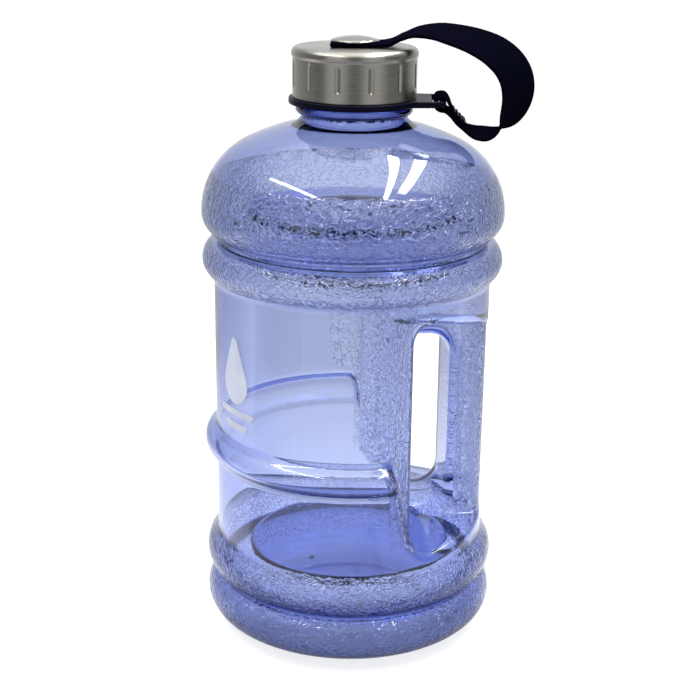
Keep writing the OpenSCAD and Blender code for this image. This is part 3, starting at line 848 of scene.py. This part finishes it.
def make_webbing():
    """The band as one closed strip with rounded selvedges."""
    path = spline(WEB_PATH, 8)
    p, w, n = ribbon_frames(path)
    length = np.concatenate([[0], np.cumsum(np.linalg.norm(np.diff(p, axis=0), axis=1))])
    flat = np.linspace(-1, 1, 25)
    half, edge = WEB_W / 2, 0.45
    outline = [(f * (half - edge), 1.0) for f in flat]
    outline += [(half - 0.14, 0.72), (half, 0.0), (half - 0.14, -0.72)]
    outline += [(f * (half - edge), -1.0) for f in flat[::-1]]
    outline += [(0.14 - half, -0.72), (-half, 0.0), (0.14 - half, 0.72)]
    verts, weave = [], []
    for i in range(len(p)):
        for across, face in outline:
            verts.append(p[i] + across * w[i] + face * WEB_T / 2 * n[i])
            weave.append((length[i], across + half, face))
    rows, cols = len(p), len(outline)
    faces = grid_faces(rows, cols, close_cols=True)
    faces += [tuple(range(cols))[::-1], tuple(range((rows - 1) * cols, rows * cols))]
    strap = add_piece("webbing_strap", turned(verts), faces, None, WEBBING)
    face_outwards(strap)
    attribute = strap.data.attributes.new("weave", "FLOAT_VECTOR", "POINT")
    attribute.data.foreach_set("vector", np.array(weave, np.float32).ravel())
    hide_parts("strap_webbing")
    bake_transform(strap)


def make_stitching():
    """Rows of thread across the sewn overlap, one short stitch after another."""
    rows, per_row, thread_r, half_length = 4, 6, 0.28, 1.1
    a = np.array([WEB_PATH[0][0], 0, WEB_PATH[0][1]])
    b = np.array([WEB_PATH[2][0], 0, WEB_PATH[2][1]])
    d = b - a
    along = d / np.linalg.norm(d)
    out = np.cross([0, 1, 0], along)
    verts, faces = [], []
    for row in range(rows):
        for i in range(per_row):
            mid = a + d * (0.14 + 0.24 * row) + out * (WEB_T / 2 - 0.05)
            mid = mid + np.array([0, (i - 2.5) * WEB_W / 6.5, 0])
            start = len(verts)
            for t in np.linspace(-1, 1, 7):
                r = thread_r * np.sqrt(max(1 - t ** 4, 0.03))
                for k in range(8):
                    turn = TAU * k / 8
                    verts.append(mid + np.array([0, half_length * t, 0])
                                 + r * (np.cos(turn) * along + np.sin(turn) * out))
            faces += [tuple(start + v for v in f) for f in grid_faces(7, 8, close_cols=True)]
            faces += [tuple(start + v for v in range(8))[::-1],
                      tuple(start + 48 + v for v in range(8))]
    stitches = add_piece("strap_stitches", turned(verts), faces, "strap", THREAD)
    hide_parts("strap_stitching")


make_ring()
make_webbing()
make_stitching()


# ---------------------------------------------------------------- printed mark

MARK_Z, MARK_TURN = 118.0, np.radians(-152)
INK_OUT_R, INK_IN_R = 60.15, 60.03


def make_mark():
    """Water drop over two bars, as thin raised ink on the plain wall."""
    radius, tip, up = 9.0, 24.0, 4.0
    lean = np.arccos(radius / tip)
    touch = radius * np.cos(lean)

    def drop_half(v):
        h = v - up
        if h > touch:
            return radius * np.sin(lean) * (tip - h) / (tip - touch)
        return np.sqrt(max(radius ** 2 - h * h, 0))

    shapes = [(up - radius, tip, drop_half)]
    for centre, wide in ((-9, 22), (-15, 14)):
        shapes.append((centre - 1.5, centre + 1.5, lambda v, c=centre, w=wide:
                       w / 2 + np.sqrt(max(2.25 - (v - c) ** 2, 0))))
    verts, faces = [], []
    cols = 17
    for low, high, half in shapes:
        ease = 0.5 - 0.5 * np.cos(np.linspace(0, np.pi, 33))
        rows = [low + (high - low) * e for e in ease]
        start = len(verts)
        for wall_r in (INK_OUT_R, INK_IN_R):
            for v in rows:
                for f in np.linspace(-1, 1, cols):
                    u = f * max(half(v), 0.05)
                    verts.append((np.sqrt(wall_r ** 2 - u * u), u, MARK_Z + v))
        count = len(rows) * cols
        front = grid_faces(len(rows), cols)
        faces += [tuple(start + v for v in f) for f in front]
        faces += [tuple(start + count + v for v in f[::-1]) for f in front]
        edge = (list(range(cols)) + [r * cols + cols - 1 for r in range(1, len(rows))]
                + [count - 1 - k for k in range(1, cols)]
                + [r * cols for r in range(len(rows) - 2, 0, -1)])
        for a, b in zip(edge, edge[1:] + edge[:1]):
            faces.append((start + b, start + a, start + count + a, start + count + b))
    p = np.array(verts)
    c, s = np.cos(MARK_TURN), np.sin(MARK_TURN)
    p = np.stack([c * p[:, 0] - s * p[:, 1], s * p[:, 0] + c * p[:, 1], p[:, 2]], 1)
    mark = add_piece("drop_emblem", p, faces, "bottle", INK)
    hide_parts("printed_mark")


make_mark()

# CAD nodes that stay as they are, with their own finishes
for node, finish in (("lid_liner", LINER), ("lid_gasket", RUBBER), ("rivet_washer", POLISHED),
                     ("strap_spacer", BLACK)):
    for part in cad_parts[node].material_slots:
        part.material = finish


# ---------------------------------------------------------------- stage, light and camera

# Brightness of the studio round the jug, from in front of it (0) to straight behind it (1)
SKY_STOPS = [(0.0, 0.10), (0.06, 0.12), (0.11, 0.80), (0.27, 0.80), (0.33, 0.12), (0.50, 0.30),
             (0.80, 0.75), (0.94, 0.95)]
SKY_TOP = 2.6
# Painted light on the floor, a glow that stands in for a lit sweep: its level from in front of the
# jug to behind it, by metres from its axis
FLOOR_STOPS = [(-0.08, 0.25), (-0.02, 0.35), (0.0, 1.0), (0.06, 1.0), (0.12, 0.75), (0.36, 0.12)]
FLOOR_FROM, FLOOR_TO = -0.1, 0.4
FLOOR_HALF, FLOOR_DROP = 0.7, 0.0002
CAMERA_TURN = np.radians(-97.5)


def stage_floor():
    """Pale floor with painted light: it glows brightly behind the jug and dimly in front of it, as
    a lit sweep does, and at least 0.8 to the camera.
    """
    mesh = bpy.data.meshes.new("floor")
    a = FLOOR_HALF
    mesh.from_pydata([(-a, -a, 0), (a, -a, 0), (a, a, 0), (-a, a, 0)], [], [(0, 1, 2, 3)])
    floor = bpy.data.objects.new("floor", mesh)
    bpy.context.scene.collection.objects.link(floor)
    floor.location.z = cad_box[0][2] - FLOOR_DROP
    look = Look("pale_floor", **{"Base Color": (0.3, 0.3, 0.3, 1), "Roughness": 0.8,
                                 "Specular IOR Level": 0.1, "Emission Color": (1, 1, 1, 1)})
    behind = look.add("ShaderNodeSeparateXYZ", {0: look.where}).outputs["Y"]
    at = look.span(behind, FLOOR_FROM, FLOOR_TO, 0.0, 1.0)
    # painted light: emission brighter behind the jug than in front of it
    glow = look.ramp(at, *[((y - FLOOR_FROM) / (FLOOR_TO - FLOOR_FROM), (level,) * 3)
                           for y, level in FLOOR_STOPS])
    seen = look.add("ShaderNodeLightPath").outputs["Is Camera Ray"]
    look.link("Emission Strength", look.math("MAXIMUM", look.math("MULTIPLY", seen, 0.8), glow))
    mesh.materials.append(look.material)


def strip(name, start, end, width, watts):
    """Long soft light between two points, facing the middle of the jug."""
    start, end = Vector(start), Vector(end)
    at = (start + end) / 2
    lamp = bpy.data.lights.new(name, "AREA")
    lamp.shape = "RECTANGLE"
    lamp.size, lamp.size_y = (end - start).length, width
    lamp.energy = watts
    along = (end - start).normalized()
    back = (at - Vector((0, 0, 0.15))).normalized()
    side = back.cross(along).normalized()
    obj = bpy.data.objects.new(name, lamp)
    bpy.context.scene.collection.objects.link(obj)
    obj.matrix_world = Matrix((along, side, along.cross(side))).transposed().to_4x4()
    obj.location = at


def sky():
    """White to the camera. To everything else a bright backdrop behind the jug, two soft
    boxes in front with a gap between them, and dark flags at both sides."""
    world = bpy.data.worlds.new("studio")
    bpy.context.scene.world = world
    world.use_nodes = True
    tree = world.node_tree
    tree.nodes.clear()

    def add(kind, inputs=None, **props):
        return add_node(tree, kind, inputs, **props)

    place = add("ShaderNodeTexCoord").outputs["Generated"]
    turned_to = -np.pi / 2 - CAMERA_TURN
    place = add("ShaderNodeMapping", {0: place, "Rotation": (0, 0, turned_to)}).outputs[0]
    x, y, z = add("ShaderNodeSeparateXYZ", {0: place}).outputs
    ahead = add("ShaderNodeMath", {0: y, 1: -1.0}, operation="MULTIPLY").outputs[0]
    turn = add("ShaderNodeMath", {0: x, 1: ahead}, operation="ARCTAN2").outputs[0]
    turn = add("ShaderNodeMath", {0: turn}, operation="ABSOLUTE").outputs[0]
    turn = add("ShaderNodeMath", {0: turn, 1: np.pi}, operation="DIVIDE").outputs[0]
    round_it = add("ShaderNodeValToRGB", {"Fac": turn})
    set_stops(round_it, [(at, (level,) * 3) for at, level in SKY_STOPS])
    high = add("ShaderNodeMapRange", {"Value": z, "From Min": 0.55, "From Max": 0.9})
    level = add("ShaderNodeMix", {"Factor": high.outputs[0], "A": round_it.outputs[0],
                                  "B": SKY_TOP}).outputs[0]
    rest = add("ShaderNodeBackground", {"Color": (0.95, 0.97, 1, 1), "Strength": level})
    seen = add("ShaderNodeBackground", {"Color": (1, 1, 1, 1), "Strength": 1.05})
    path = add("ShaderNodeLightPath").outputs["Is Camera Ray"]
    mix = add("ShaderNodeMixShader", {0: path, 1: rest.outputs[0], 2: seen.outputs[0]})
    add("ShaderNodeOutputWorld", {0: mix.outputs[0]})


def camera():
    """Placed by its reach and height from the jug's foot, then aimed."""
    turn, reach, height = CAMERA_TURN, 0.5978, 0.3233
    pitch, yaw, roll = np.radians(18.26), np.radians(0.05), np.radians(0.72)
    at = Vector((reach * np.cos(turn), reach * np.sin(turn), height))
    face = turn + np.pi + yaw
    forward = Vector((np.cos(face) * np.cos(pitch), np.sin(face) * np.cos(pitch), -np.sin(pitch)))
    right = forward.cross(Vector((0, 0, 1))).normalized()
    up = right.cross(forward)
    right, up = np.cos(roll) * right + np.sin(roll) * up, np.cos(roll) * up - np.sin(roll) * right
    data = bpy.data.cameras.new("camera")
    data.lens, data.sensor_width = 72.84, 36.0
    data.clip_start, data.clip_end = 0.01, 20
    obj = bpy.data.objects.new("camera", data)
    bpy.context.scene.collection.objects.link(obj)
    obj.matrix_world = Matrix((right, up, -forward)).transposed().to_4x4()
    obj.location = at
    bpy.context.scene.camera = obj


stage_floor()
sky()
strip("strip_left", (-0.75, 0.20, 1.03), (-0.47, -0.82, 1.03), 0.05, 4.5)
strip("strip_right", (0.26, 0.55, 1.03), (0.30, -0.76, 1.03), 0.06, 5)
strip("strip_far", (0.46, 0.70, 1.03), (0.46, -0.50, 1.03), 0.10, 7)
camera()
bpy.context.scene.view_settings.view_transform = "Standard"
